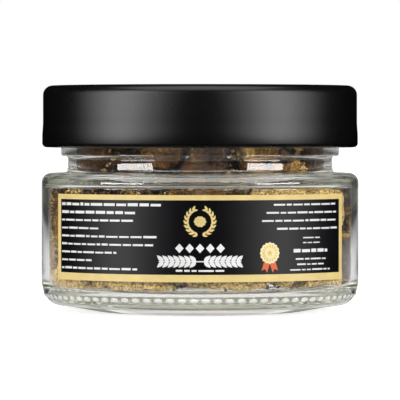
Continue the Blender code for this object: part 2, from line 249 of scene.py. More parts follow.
def line(start, stop, steps):
    """Points between two corners of a profile, without the ends."""
    shares = [step / steps for step in range(1, steps)]
    return [tuple(a + (b - a) * share for a, b in zip(start, stop)) for share in shares]


def turned_mesh(name, profile, steps, closed=False, relief=None):
    """A profile turned about Z. It starts and ends on the axis, or is closed and clear of it.

    relief takes the radius, angle and height of every point and gives them back changed.
    """
    profile = np.array(profile)
    on_axis = profile[:, 0] < 1e-9
    angles = np.arange(steps) * math.tau / steps
    radius = np.repeat(profile[:, 0:1], steps, axis=1)
    height = np.repeat(profile[:, 1:2], steps, axis=1)
    angle = np.repeat(angles[None, :], len(profile), axis=0)
    if relief:
        radius, height = relief(radius, angle, height)
    points, index = [], []
    for row, single in enumerate(on_axis):
        if single:
            index.append([len(points)] * steps)
            points.append((0.0, 0.0, profile[row, 1]))
            continue
        index.append(list(range(len(points), len(points) + steps)))
        x = radius[row] * np.cos(angle[row])
        y = radius[row] * np.sin(angle[row])
        points.extend(zip(x.tolist(), y.tolist(), height[row].tolist()))
    rows = len(profile)
    pairs = [(row, (row + 1) % rows) for row in range(rows if closed else rows - 1)]
    faces = []
    for upper, lower in pairs:
        for step in range(steps):
            after = (step + 1) % steps
            sides = ((upper, step), (lower, step), (lower, after), (upper, after))
            corners = list(dict.fromkeys(index[row][at] for row, at in sides))
            if len(corners) > 2:
                faces.append(corners)
    mesh = bpy.data.meshes.new(name)
    mesh.from_pydata(points, [], faces)
    mesh.shade_smooth()
    return mesh


def new_material(name, color, roughness):
    material = bpy.data.materials.new(name)
    material.use_nodes = True
    shader = material.node_tree.nodes["Principled BSDF"]
    shader.inputs["Base Color"].default_value = (*color, 1.0)
    shader.inputs["Roughness"].default_value = roughness
    return material, material.node_tree, shader


def place(tree):
    return tree.nodes.new("ShaderNodeTexCoord").outputs["Object"]


def noise_texture(tree, scale, detail=4.0, roughness=0.55):
    """Noise whose scale is in features per metre, read at the piece's own coordinates."""
    node = tree.nodes.new("ShaderNodeTexNoise")
    node.inputs["Scale"].default_value = scale
    node.inputs["Detail"].default_value = detail
    node.inputs["Roughness"].default_value = roughness
    tree.links.new(place(tree), node.inputs["Vector"])
    return node.outputs["Fac"]


def ramp(tree, value, stops):
    node = tree.nodes.new("ShaderNodeValToRGB")
    colors = node.color_ramp.elements
    while len(colors) < len(stops):
        colors.new(0.5)
    for element, (position, color) in zip(colors, stops):
        element.position = position
        element.color = (*color, 1.0)
    tree.links.new(value, node.inputs["Fac"])
    return node.outputs["Color"]


def grey_ramp(tree, value, low, high, dark=0.0, light=1.0):
    return ramp(tree, value, [(low, (dark,) * 3), (high, (light,) * 3)])


def mix_colors(tree, factor, first, second, mode="MIX"):
    node = tree.nodes.new("ShaderNodeMix")
    node.data_type = "RGBA"
    node.blend_type = mode
    for slot, value in ((0, factor), (6, first), (7, second)):
        socket = node.inputs[slot]
        if isinstance(value, bpy.types.NodeSocket):
            tree.links.new(value, socket)
        else:
            socket.default_value = value if isinstance(value, float) else (*value, 1.0)
    return node.outputs[2]


def attribute(tree, name):
    node = tree.nodes.new("ShaderNodeAttribute")
    node.attribute_name = name
    return node.outputs["Fac"]


def math_node(tree, operation, first, second):
    node = tree.nodes.new("ShaderNodeMath")
    node.operation = operation
    for socket, value in zip(node.inputs, (first, second)):
        if isinstance(value, bpy.types.NodeSocket):
            tree.links.new(value, socket)
        else:
            socket.default_value = value
    return node.outputs[0]


def parts_of(tree, vector):
    """The X, Y and Z of a vector as sockets."""
    split = tree.nodes.new("ShaderNodeSeparateXYZ")
    tree.links.new(vector, split.inputs["Vector"])
    return split.outputs


def seen_by_camera(tree):
    return tree.nodes.new("ShaderNodeLightPath").outputs["Is Camera Ray"]


def add_bump(tree, shader, height, distance, strength=1.0):
    """Bump for detail too fine for the mesh: distance is how high a full step of height is."""
    bump = tree.nodes.new("ShaderNodeBump")
    bump.inputs["Strength"].default_value = strength
    bump.inputs["Distance"].default_value = distance
    tree.links.new(height, bump.inputs["Height"])
    tree.links.new(bump.outputs["Normal"], shader.inputs["Normal"])


def glass_material():
    """Clear soda glass, a faint green in its depth, with slight waviness from the mould."""
    material, tree, shader = new_material("jar_glass_clear", (1.0, 1.0, 1.0), 0.0)
    shader.inputs["Transmission Weight"].default_value = 1.0
    shader.inputs["IOR"].default_value = GLASS_IOR
    waves = noise_texture(tree, 90.0, 2.0)
    add_bump(tree, shader, waves, 0.05 * MM, 0.25)
    depth = tree.nodes.new("ShaderNodeVolumeAbsorption")
    depth.inputs["Color"].default_value = GLASS_TINT
    depth.inputs["Density"].default_value = GLASS_DENSITY
    tree.links.new(depth.outputs["Volume"], tree.nodes["Material Output"].inputs["Volume"])
    return material


def frosted_material():
    """The same glass with a fine tooth, which catches the light."""
    material, tree, shader = new_material("jar_glass_frosted", (0.90, 0.91, 0.87), 0.4)
    shader.inputs["Transmission Weight"].default_value = 0.7
    shader.inputs["IOR"].default_value = GLASS_IOR
    add_bump(tree, shader, noise_texture(tree, 2200.0, 2.0), 0.02 * MM, 0.5)
    return material


def lid_material():
    """Satin black lacquer on steel: fine orange peel, faint rub marks and specks of dust."""
    material, tree, shader = new_material("lid_lacquer_black", LACQUER_BLACK, 0.28)
    shader.inputs["IOR"].default_value = 1.6
    smudge = noise_texture(tree, SMUDGE_SCALE, 5.0)
    tree.links.new(grey_ramp(tree, smudge, 0.3, 0.7, 0.265, 0.295), shader.inputs["Roughness"])
    specks = noise_texture(tree, 1500.0, 1.0)
    dust = grey_ramp(tree, specks, 0.80, 0.84)
    color = mix_colors(tree, dust, LACQUER_BLACK, (0.05, 0.05, 0.048))
    tree.links.new(color, shader.inputs["Base Color"])
    peel = math_node(tree, "MULTIPLY", noise_texture(tree, PEEL_SCALE, 2.0), LID_PEEL)
    add_bump(tree, shader, math_node(tree, "SUBTRACT", peel, barrel_height(tree)), 1.0)
    return material


def panel_material():
    """The lacquer of the flat top, rubbed matt, which dulls the studio lights in it."""
    material, tree, shader = new_material("lid_lacquer_rubbed", (0.008, 0.008, 0.008), 0.5)
    shader.inputs["Specular IOR Level"].default_value = 0.1
    smudge = noise_texture(tree, SMUDGE_SCALE, 5.0)
    tree.links.new(grey_ramp(tree, smudge, 0.3, 0.7, 0.42, 0.56), shader.inputs["Roughness"])
    color = ramp(tree, smudge, [(0.35, (0.006, 0.006, 0.006)), (0.7, (0.012, 0.012, 0.0115))])
    tree.links.new(color, shader.inputs["Base Color"])
    add_bump(tree, shader, noise_texture(tree, PEEL_SCALE, 2.0), LID_PEEL)
    return material


def barrel_height(tree):
    """How far a slight barrel shape of the skirt falls away above and below its middle."""
    middle = (LID_TOP_Z + LID_FOOT_Z) / 2
    off = math_node(tree, "SUBTRACT", parts_of(tree, place(tree))["Z"], middle)
    return math_node(tree, "DIVIDE", math_node(tree, "MULTIPLY", off, off), 2 * LID_BARREL_RADIUS)


def seal_material():
    """Cream plastisol, soft and slightly mottled."""
    material, tree, shader = new_material("seal_plastisol_cream", (0.70, 0.67, 0.60), 0.5)
    mottle = noise_texture(tree, 500.0)
    color = ramp(tree, mottle, [(0.35, (0.62, 0.59, 0.52)), (0.65, (0.74, 0.71, 0.65))])
    tree.links.new(color, shader.inputs["Base Color"])
    add_bump(tree, shader, noise_texture(tree, 1400.0), 0.03 * MM, 0.4)
    return material


def inner_glass_profile():
    """From the middle of the floor, out and up the inside, to the lip."""
    inner_radius = BODY_RADIUS - WALL
    points = [(0.0, FLOOR_CENTRE_Z)]
    for share in (0.1, 0.25, 0.4, 0.55, 0.7, 0.8):
        drop = (FLOOR_CENTRE_Z - FLOOR_Z) * (share / 0.91) ** 2
        points.append((share * inner_radius, FLOOR_CENTRE_Z - drop))
    points += arc(inner_radius - FLOOR_CORNER, FLOOR_Z + FLOOR_CORNER, FLOOR_CORNER, -90, 0, 12)
    corner_r = inner_radius - INNER_SHOULDER_CORNER
    corner_z = INNER_SHOULDER_Z - INNER_SHOULDER_CORNER
    points += arc(corner_r, corner_z, INNER_SHOULDER_CORNER, 0, 90, 10)
    bore_corner = (BORE_RADIUS + BORE_FILLET, INNER_SHOULDER_Z + BORE_FILLET)
    points += arc(*bore_corner, BORE_FILLET, 270, 180, 6)
    return points + [(BORE_RADIUS, RIM_Z - 2 * RIM_CORNER)]


def rim_profile():
    points = arc(LIP_BORE_RADIUS + RIM_CORNER, RIM_Z - RIM_CORNER, RIM_CORNER, 180, 90, 5)
    points += arc(FINISH_RADIUS - RIM_CORNER, RIM_Z - RIM_CORNER, RIM_CORNER, 90, 0, 5)
    top = (FINISH_RADIUS, RIM_Z - RIM_CORNER)
    return points + line(top, (FINISH_RADIUS, FINISH_FOOT_Z + 0.3 * MM), 36)


def neck_profile():
    """Down from the foot of the finish to the top of the shoulder, with a slight hollow."""
    step = 0.3 * MM
    points = [
        (FINISH_RADIUS, FINISH_FOOT_Z + step),
        (FINISH_RADIUS - 0.3 * step, FINISH_FOOT_Z + 0.3 * step),
        (FINISH_RADIUS - step, FINISH_FOOT_Z),
        (NECK_RADIUS + step, FINISH_FOOT_Z - 0.1 * MM),
    ]
    for share in (0.15, 0.3, 0.45, 0.6, 0.75, 0.9):
        z = FINISH_FOOT_Z + (SHOULDER_Z - FINISH_FOOT_Z) * share
        off = z - NECK_WAIST_Z
        points.append((NECK_RADIUS + off * off / (2 * NECK_HOLLOW), z))
    foot_r = NECK_RADIUS + (NECK_WAIST_Z - SHOULDER_Z) ** 2 / (2 * NECK_HOLLOW)
    return points + [
        (foot_r + 0.3 * MM, SHOULDER_Z + 0.15 * MM),
        (foot_r + 0.9 * MM, SHOULDER_Z + 0.04 * MM),
    ]


def heel_profile(steps=54):
    """Down from the straight wall to the foot of the heel, on a squarish rounded curve."""
    points = []
    for step in range(steps + 1):
        angle = math.radians(90) * step / steps
        out = math.cos(angle) ** (2 / HEEL_POWER) if step < steps else 0.0
        down = math.sin(angle) ** (2 / HEEL_POWER)
        radius = HEEL_FOOT_RADIUS + (BODY_RADIUS - HEEL_FOOT_RADIUS) * out
        points.append((radius, HEEL_TOP_Z - (HEEL_TOP_Z - HEEL_FOOT_Z) * down))
    return points


def base_profile():
    """In from the heel to the flat ring that the jar stands on, and up to the hollow middle."""
    edge = (BEARING_OUTER_RADIUS + 0.6 * MM, 0.08 * MM)
    points = line((HEEL_FOOT_RADIUS, HEEL_FOOT_Z), edge, 8)
    return points + [
        edge,
        (BEARING_OUTER_RADIUS, 0.0),
        (BEARING_INNER_RADIUS, 0.0),
        (BEARING_INNER_RADIUS - 0.7 * MM, 0.3 * MM),
        (0.85 * BEARING_INNER_RADIUS, 0.65 * PUNT_Z),
        (0.5 * BEARING_INNER_RADIUS, 0.95 * PUNT_Z),
        (0.0, PUNT_Z),
    ]


def ridge_relief(radius, angle, height):
    """How far the thread ridges lift the finish wall at each point."""
    lift = np.zeros_like(radius)
    lug_top = LID_FOOT_Z + LID_CURL_HEIGHT
    for i in range(LUG_COUNT):
        middle = FIRST_LUG_ANGLE + math.tau * i / LUG_COUNT
        along = (angle - middle + RIDGE_LUG_AT) % math.tau
        under = lug_top + GAP + LEAD * (along - RIDGE_LUG_AT)
        across = (height - under) / RIDGE_HEIGHT
        share = along / RIDGE_SPAN
        fade = np.clip(5 * np.minimum(share, 1 - share), 0, 1)
        crest = np.clip(4.5 * np.minimum(across, 1 - across), 0, 1)
        lift = np.maximum(lift, fade * crest * (3 - 2 * crest) * crest)
    return lift * (RIDGE_RADIUS - FINISH_RADIUS)


def mark_shape(angle, height):
    """Above 0 on the row of small lens-shaped marks round the heel, and 1 at their middles."""
    along = (angle * MARK_COUNT / math.tau) % 1 - 0.5
    up = (height - MARK_Z) / MARK_HALF_TALL
    return 1 - (along / MARK_HALF_WIDTH) ** 2 - up ** 2


def glass_relief(radius, angle, height):
    finish = np.abs(radius - FINISH_RADIUS) < 0.01 * MM
    heel = radius > FINISH_RADIUS + GAP
    mark = np.sqrt(np.clip(mark_shape(angle, height), 0, 1))
    new_radius = np.where(finish, radius + ridge_relief(radius, angle, height), radius)
    return np.where(heel, new_radius + MARK_HEIGHT * mark, new_radius), height


def frost_marks(mesh):
    """Gives the faces of the heel's marks the frosted glass."""
    mesh.materials.append(frosted_material())
    for face in mesh.polygons:
        x, y, z = face.center
        if abs(z - MARK_Z) < MARK_HALF_TALL and math.hypot(x, y) > FINISH_RADIUS + GAP:
            if mark_shape(math.atan2(y, x), z) > 0.2:
                face.material_index = 1


def make_jar():
    """The glass, finer than its solid, with the thread ridges and the marks round the heel."""
    points = inner_glass_profile() + rim_profile() + neck_profile()
    corner_r = BODY_RADIUS - SHOULDER_CORNER
    points += arc(corner_r, SHOULDER_Z - SHOULDER_CORNER, SHOULDER_CORNER, 90, 0, 14)
    points += heel_profile() + base_profile()
    mesh = turned_mesh("clear_jar", points, GLASS_STEPS, relief=glass_relief)
    jar = add_object("clear_jar", mesh, glass_material())
    frost_marks(mesh)
    jar.visible_shadow = False
    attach(jar, "jar")
    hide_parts("jar_glass")
    return jar


def lid_profile():
    """From the middle of the top, out and down the skirt, round the curl and back inside."""
    inner = LID_RADIUS - LID_SHEET
    panel_z = LID_TOP_Z - LID_PANEL_DROP
    step = LID_PANEL_RADIUS + LID_PANEL_DROP
    corner_r = LID_RADIUS - LID_CORNER
    curl_top = LID_FOOT_Z + LID_CURL_HEIGHT
    curl_inner = LID_CURL_RADIUS - LID_CURL_WIDTH
    foot_r = LID_CURL_RADIUS - LID_CURL_CORNER
    bend = 0.12 * MM
    points = [(0.0, panel_z), (0.5 * LID_PANEL_RADIUS, panel_z), (LID_PANEL_RADIUS - bend, panel_z)]
    points += [(LID_PANEL_RADIUS, panel_z + 0.3 * bend), (step - bend, LID_TOP_Z - 0.3 * bend)]
    points += [(step + bend, LID_TOP_Z)]
    points += arc(corner_r, LID_TOP_Z - LID_CORNER, LID_CORNER, 90, 0, 14)
    points += flare_profile()
    points += arc(foot_r, LID_FOOT_Z + LID_CURL_CORNER, LID_CURL_CORNER, 0, -90, 10)
    points += [(curl_inner, LID_FOOT_Z + 0.5 * LID_SHEET)]
    points += [(curl_inner, curl_top - LID_SHEET), (inner, curl_top)]
    points += arc(corner_r, LID_TOP_Z - LID_CORNER, LID_CORNER - LID_SHEET, 0, 90, 10)
    points += [(step, LID_TOP_Z - LID_SHEET), (LID_PANEL_RADIUS, panel_z - LID_SHEET)]
    return points + [(0.0, panel_z - LID_SHEET)]


def flare_profile(steps=8):
    """The smooth bend where the skirt widens a little above the curl."""
    points = []
    for step in range(steps + 1):
        share = step / steps
        out = share * share * (3 - 2 * share)
        z = LID_FLARE_TOP_Z + (LID_FLARE_FOOT_Z - LID_FLARE_TOP_Z) * share
        points.append((LID_RADIUS + (LID_CURL_RADIUS - LID_RADIUS) * out, z))
    return points


def add_loft(shape, sections):
    """Adds a closed solid through sections with the same number of points each."""
    rings = [[shape.verts.new(point) for point in section] for section in sections]
    for ring, following in zip(rings, rings[1:]):
        for i, vertex in enumerate(ring):
            after = (i + 1) % len(ring)
            shape.faces.new((vertex, ring[after], following[after], following[i]))
    shape.faces.new(list(reversed(rings[0])))
    shape.faces.new(rings[-1])


def around(radius, angle, z):
    return Vector((radius * math.cos(angle), radius * math.sin(angle), z))


def lug_sections(middle, count=9):
    """One tongue that reaches in from the curl, parallel to the glass thread."""
    lug_top = LID_FOOT_Z + LID_CURL_HEIGHT
    rings = []
    for i in range(count):
        share = i / (count - 1)
        fade = min(1.0, 4 * min(share, 1 - share) + 0.35)
        angle = middle + LUG_SPAN * (share - 0.5)
        top = lug_top + LEAD * (angle - middle)
        inner = LUG_INNER_RADIUS + 0.8 * MM * (1 - fade)
        outer = LID_RADIUS - 0.5 * LID_SHEET
        low = top - LUG_HEIGHT
        nose = 0.3 * MM
        section = [(inner, low + nose), (inner + nose, low), (outer, low), (outer, top)]
        section += [(inner + nose, top), (inner, top - nose)]
        rings.append([around(r, angle, z) for r, z in section])
    return rings


def rub_panel(mesh):
    """Gives the flat middle of the lid's top its own finish."""
    mesh.materials.append(panel_material())
    panel_z = LID_TOP_Z - LID_PANEL_DROP
    for face in mesh.polygons:
        x, y, z = face.center
        if abs(z - panel_z) < 0.5 * LID_SHEET and math.hypot(x, y) < LID_PANEL_RADIUS:
            face.material_index = 1


def make_lid():
    """The deep black lid with its rolled rim and lugs."""
    mesh = turned_mesh("black_lid", lid_profile(), LID_STEPS)
    shape = bmesh.new()
    shape.from_mesh(mesh)
    for i in range(LUG_COUNT):
        add_loft(shape, lug_sections(FIRST_LUG_ANGLE + math.tau * i / LUG_COUNT))
    bmesh.ops.recalc_face_normals(shape, faces=shape.faces[:])
    shape.to_mesh(mesh)
    shape.free()
    mesh.shade_smooth()
    mesh.set_sharp_from_angle(angle=math.radians(50))
    lid = add_object("black_lid", mesh, lid_material())
    rub_panel(mesh)
    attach(lid, "lid")
    lid.visible_transmission = False
    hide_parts("lid")
    return lid


def make_seal():
    """The soft ring in the lid, with rounded edges and a shallow groove pressed by the rim."""
    low = RIM_Z + GAP
    high = LID_TOP_Z - LID_PANEL_DROP - LID_SHEET - GAP
    bevel = 0.15 * MM
    middle = (SEAL_INNER_RADIUS + SEAL_OUTER_RADIUS) / 2
    points = [(SEAL_INNER_RADIUS, high), (SEAL_INNER_RADIUS, low + bevel)]
    points += [(SEAL_INNER_RADIUS + bevel, low), (middle - 1.1 * MM, low)]
    points += [(middle - 0.5 * MM, low + 0.08 * MM), (middle + 0.5 * MM, low + 0.08 * MM)]
    points += [(middle + 1.1 * MM, low), (SEAL_OUTER_RADIUS - bevel, low)]
    points += [(SEAL_OUTER_RADIUS, low + bevel), (SEAL_OUTER_RADIUS, high)]
    mesh = turned_mesh("soft_seal", points, LID_STEPS, closed=True)
    shape = bmesh.new()
    shape.from_mesh(mesh)
    bmesh.ops.recalc_face_normals(shape, faces=shape.faces[:])
    shape.to_mesh(mesh)
    shape.free()
    seal = add_object("soft_seal", mesh, seal_material())
    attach(seal, "seal")
    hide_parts("lid_seal")


def wrap(across, up, radius):
    """A point of the flat label, bent round the jar at a radius."""
    return around(radius, across / LABEL_RADIUS - math.pi / 2, LABEL_LOW_Z + up)


def bent_sheet(shape, left, right, low, high, inner=PRINT_INNER, outer=PRINT_OUTER):
    """Adds a closed thin sheet to shape, with enough steps across to follow the jar."""
    steps = max(1, math.ceil((right - left) / LABEL_STEP))
    corners = [(low, inner), (low, outer), (high, outer), (high, inner)]
    sections = []
    for step in range(steps + 1):
        across = left + (right - left) * step / steps
        sections.append([wrap(across, up, radius) for up, radius in corners])
    add_loft(shape, sections)


def stamp(shape, outline, angle, across, up, inner=PRINT_INNER, outer=PRINT_OUTER):
    """Adds a closed thin patch to shape: a flat outline, turned and moved on the label."""
    turn_x, turn_y = math.cos(angle), math.sin(angle)
    moved = [(across + x * turn_x - y * turn_y, up + x * turn_y + y * turn_x) for x, y in outline]
    add_loft(shape, [[wrap(*point, radius) for point in moved] for radius in (inner, outer)])


def print_object(name, shape, material):
    """Finishes one colour of the label as a piece."""
    bmesh.ops.recalc_face_normals(shape, faces=shape.faces[:])
    long_faces = [face for face in shape.faces if len(face.verts) > 4]
    bmesh.ops.triangulate(shape, faces=long_faces)
    mesh = bpy.data.meshes.new(name)
    shape.to_mesh(mesh)
    shape.free()
    piece = add_object(name, mesh, material)
    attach(piece, "jar")
    return piece


def leaf_outline(length, width, points=7):
    """A pointed leaf that starts at the origin and lies along +X."""
    upper = []
    for i in range(points + 1):
        share = i / points
        upper.append((length * share, 0.5 * width * math.sin(math.pi * share ** 0.8)))
    lower = [(x, -y) for x, y in reversed(upper[1:-1])]
    return upper + lower


def ring_outline(radius, points, wave=0.0, waves=0):
    """A closed round outline, with a scalloped edge where wave is given."""
    outline = []
    for i in range(points):
        angle = math.tau * i / points
        at = radius * (1 + wave * math.cos(waves * angle))
        outline.append((at * math.cos(angle), at * math.sin(angle)))
    return outline


def ink_material(name, color, roughness, mottle=0.06):
    """Printing ink on coated paper: a slight mottle in its colour and a fine tooth."""
    material, tree, shader = new_material(name, color, roughness)
    patches = noise_texture(tree, 260.0, 5.0)
    dark = tuple(channel * (1 - mottle) for channel in color)
    light = tuple(min(1.0, channel * (1 + mottle)) for channel in color)
    mixed = ramp(tree, patches, [(0.35, dark), (0.65, light)])
    tree.links.new(mixed, shader.inputs["Base Color"])
    add_bump(tree, shader, noise_texture(tree, 2600.0, 2.0), 0.01 * MM, 0.3)
    return material


def make_label():
    """The wrap-round label: gold border, black field and printed ornament."""
    gold = ink_material("label_gold_ink", (0.66, 0.51, 0.20), 0.42)
    black = ink_material("label_black_ink", (0.0025, 0.0025, 0.0035), 0.3, 0.2)
    black.node_tree.nodes["Principled BSDF"].inputs["Specular IOR Level"].default_value = 0.25
    white = ink_material("label_white_ink", (0.68, 0.68, 0.68), 0.45)
    cream = ink_material("rosette_cream_ink", (0.74, 0.66, 0.38), 0.42)
    amber = ink_material("rosette_gold_ink", (0.70, 0.46, 0.09), 0.42)
    red = ink_material("ribbon_red_ink", (0.62, 0.10, 0.02), 0.42)
    make_label_sheets(gold, black)
    make_text_bars(white)
    make_emblem(gold)
    make_white_ornament(white)
    make_rosette(cream, amber, red)


def make_label_sheets(gold, black):
    """The paper, printed gold to its edges, and the black field inside the border."""
    side, high = LABEL_HALF_WIDTH, LABEL_HIGH_Z - LABEL_LOW_Z
    shape = bmesh.new()
    bent_sheet(shape, -side, side, 0.0, high, LABEL_INNER_RADIUS, LABEL_RADIUS)
    paper = print_object("label_sheet", shape, gold)
    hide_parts("label")
    shape = bmesh.new()
    side -= BORDER_SIDE
    bent_sheet(shape, -side, side, BORDER_FOOT, high - BORDER_TOP, LABEL_RADIUS, PRINT_INNER)
    print_object("label_black_field", shape, black)


def text_bar(shape, draw, left, right, middle, height):
    """A line of short bars with gaps between them."""
    at = left
    while at < right - 0.6 * MM:
        word = min(draw.uniform(0.9, 3.4) * MM, right - at)
        for half, share in ((-1, 0.86), (1, draw.uniform(0.6, 1.0))):
            low, high = sorted((middle, middle + half * 0.5 * height * share))
            bent_sheet(shape, at, at + word, low, high)
        at += word + 0.42 * MM


def make_text_bars(material):
    """Rows of plain bars: a block on the left and two on the right."""
    draw = random.Random(3)
    shape = bmesh.new()
    bars = []
    for row, (width, height) in enumerate(LEFT_ROWS):
        bars.append((TEXT_LEFT, TEXT_LEFT + width * MM, TEXT_TOP - row * TEXT_PITCH, height))
    for row, width in enumerate(RIGHT_ROWS):
        bars.append((TEXT_RIGHT - width * MM, TEXT_RIGHT, TEXT_TOP - row * TEXT_PITCH, 0.5))
    for up, width, height in LOW_ROWS:
        half = 0.5 * width * MM
        bars.append((LOW_ROWS_MIDDLE - half, LOW_ROWS_MIDDLE + half, up * MM, height))
    for left, right, middle, height in bars:
        text_bar(shape, draw, left, right, middle, height * MM)
    print_object("label_print_bars", shape, material)


def make_emblem(material):
    """A gold wreath of small leaves round a knobbly truffle."""
    shape = bmesh.new()
    up = 13.5 * MM
    leaf = leaf_outline(1.25 * MM, 0.52 * MM)
    ring = 3.0 * MM
    for side in (-1, 1):
        for i in range(9):
            angle = math.radians(-80 + 17 * i)
            across = side * ring * math.cos(angle)
            for lean in (0.45, -0.5):
                heading = angle + math.pi / 2 - lean
                turn = heading if side > 0 else math.pi - heading
                at = ring * math.sin(angle)
                stamp(shape, leaf, turn, across, up + at)
    draw = random.Random(5)
    knobs = []
    for i in range(11):
        reach = 1.0 if i else 0.0
        knobs.append((math.tau * i / 10, reach, 0.85 * reach, 0.33 + 0.08 * draw.random()))
    knobs += [(math.tau * i / 5 + 0.4, 0.5, 0.42, 0.28) for i in range(5)]
    for angle, wide, tall, size in knobs:
        across, high = wide * MM * math.cos(angle), tall * MM * math.sin(angle)
        stamp(shape, ring_outline(size * MM, 10), 0.0, across, up + high)
    print_object("label_gold_wreath", shape, material)


def make_white_ornament(material):
    """White ornament: a row of diamonds, a leafy bar and a fine rule."""
    shape = bmesh.new()
    diamond = [(0.95 * MM, 0.0), (0.0, 1.05 * MM), (-0.95 * MM, 0.0), (0.0, -1.05 * MM)]
    for i in range(-2, 3):
        stamp(shape, diamond, 0.0, 2.3 * MM * i, 7.55 * MM)
    leaf = leaf_outline(2.0 * MM, 0.95 * MM)
    stem_up = 4.6 * MM
    bent_sheet(shape, -9.3 * MM, 9.3 * MM, stem_up - 0.12 * MM, stem_up + 0.12 * MM)
    for side in (-1, 1):
        for i in range(7):
            across = side * (0.9 + 1.22 * i) * MM
            for tilt in (0.75, -0.75):
                turn = tilt if side > 0 else math.pi - tilt
                stamp(shape, leaf, turn, across, stem_up)
    draw = random.Random(8)
    text_bar(shape, draw, -5.4 * MM, 5.4 * MM, 2.55 * MM, 0.5 * MM)
    print_object("label_white_ornament", shape, material)


def make_rosette(cream, amber, red):
    """A plain scalloped rosette with two ribbon tails."""
    across, up = 16.1 * MM, 6.4 * MM
    tails = bmesh.new()
    for lean in (-0.32, 0.32):
        foot, half, notch = -4.35 * MM, 0.72 * MM, 0.62 * MM
        tail = [(-half, 0.0), (half, 0.0), (half, foot), (0.0, foot + notch), (-half, foot)]
        stamp(tails, tail, lean, across, up)
    print_object("rosette_ribbon", tails, red)
    disc = bmesh.new()
    edge = ring_outline(2.35 * MM, 96, 0.045, 16)
    stamp(disc, edge, 0.0, across, up, PRINT_INNER, PRINT_OUTER + PRINT_LIFT / 2)
    print_object("rosette_disc", disc, cream)
    ring = bmesh.new()
    top = PRINT_OUTER + 0.75 * PRINT_LIFT
    petal = leaf_outline(0.85 * MM, 0.42 * MM)
    for i in range(16):
        angle = math.tau * i / 16
        x, y = 1.2 * MM * math.cos(angle), 1.2 * MM * math.sin(angle)
        stamp(ring, petal, angle, across + x, up + y, PRINT_OUTER, top)
    petal = leaf_outline(0.75 * MM, 0.36 * MM)
    for i in range(5):
        angle = math.tau * i / 5 + math.pi / 2
        stamp(ring, petal, angle, across, up, PRINT_OUTER, top)
    print_object("rosette_petals", ring, amber)


def truffle_material():
    """Dried truffle: granular tan and golden flesh with dark veins, and near-black warty rind."""
    material, tree, shader = new_material("dried_truffle_flesh", (0.4, 0.25, 0.12), 0.8)
    shader.inputs["Specular IOR Level"].default_value = 0.12
    rind = attribute(tree, "rind")
    # tone holds each piece's own lightness and, for slices in the neck, painted shade under the lid
    tone = attribute(tree, "tone")
    patches = noise_texture(tree, 210.0, 6.0, 0.6)
    shade = math_node(tree, "ADD", math_node(tree, "MULTIPLY", tone, 0.75), patches)
    flesh = ramp(tree, shade, [
        (0.42, (0.022, 0.009, 0.002)),
        (0.62, (0.105, 0.043, 0.008)),
        (0.80, (0.270, 0.138, 0.030)),
        (0.93, (0.520, 0.325, 0.090)),
        (1.00, (0.680, 0.470, 0.170)),
    ])
    grains = noise_texture(tree, 1700.0, 3.0, 0.7)
    flesh = mix_colors(tree, 1.0, flesh, grey_ramp(tree, grains, 0.38, 0.58, 0.2, 1.3), "MULTIPLY")
    veins = noise_texture(tree, 330.0, 3.0, 0.5)
    off_vein = math_node(tree, "ABSOLUTE", math_node(tree, "SUBTRACT", veins, 0.5), 0.0)
    vein_share = grey_ramp(tree, off_vein, 0.0, 0.035, 0.55, 0.0)
    flesh = mix_colors(tree, vein_share, flesh, (0.09, 0.045, 0.02))
    warts = noise_texture(tree, 800.0, 4.0, 0.6)
    skin = ramp(tree, warts, [
        (0.36, (0.005, 0.003, 0.002)),
        (0.50, (0.030, 0.016, 0.009)),
        (0.62, (0.140, 0.088, 0.050)),
    ])
    ragged = math_node(tree, "MULTIPLY", math_node(tree, "SUBTRACT", grains, 0.5), 1.2)
    edge = math_node(tree, "ADD", rind, ragged)
    color = mix_colors(tree, grey_ramp(tree, edge, 0.42, 0.58), flesh, skin)
    tree.links.new(color, shader.inputs["Base Color"])
    height = math_node(tree, "ADD", math_node(tree, "MULTIPLY", grains, 0.7), warts)
    add_bump(tree, shader, height, 0.45 * MM, 0.9)
    return material


def fine_mesh(source):
    """A node's own solid as a smooth, dense mesh."""
    mesh = source.data.copy()
    shape = bmesh.new()
    shape.from_mesh(mesh)
    bmesh.ops.remove_doubles(shape, verts=shape.verts[:], dist=0.01 * MM)
    shape.to_mesh(mesh)
    shape.free()
    helper = bpy.data.objects.new("helper", mesh)
    bpy.context.scene.collection.objects.link(helper)
    for kind, steps in (("CATMULL_CLARK", 1), ("SIMPLE", SLICE_LEVELS)):
        divide = helper.modifiers.new(kind, "SUBSURF")
        divide.subdivision_type = kind
        divide.levels = divide.render_levels = steps
    graph = bpy.context.evaluated_depsgraph_get()
    fine = bpy.data.meshes.new_from_object(helper.evaluated_get(graph))
    bpy.data.objects.remove(helper, do_unlink=True)
    fine.materials.clear()
    return fine


def read_points(mesh):
    points = np.empty(len(mesh.vertices) * 3)
    mesh.vertices.foreach_get("co", points)
    normals = np.empty(len(mesh.vertices) * 3)
    mesh.vertex_normals.foreach_get("vector", normals)
    return points.reshape(-1, 3), normals.reshape(-1, 3)


def noise_at(points, size, offset, octaves=3):
    """Fractal noise about 0 at each point, with lumps of a given size."""
    scale = 1.0 / size
    return np.array([
        noise.fractal(Vector(point) * scale + offset, 0.6, 2.1, octaves) for point in points
    ])


def write_attribute(mesh, name, values):
    layer = mesh.attributes.new(name, "FLOAT", "POINT")
    layer.data.foreach_set("value", np.asarray(values, dtype=np.float32))


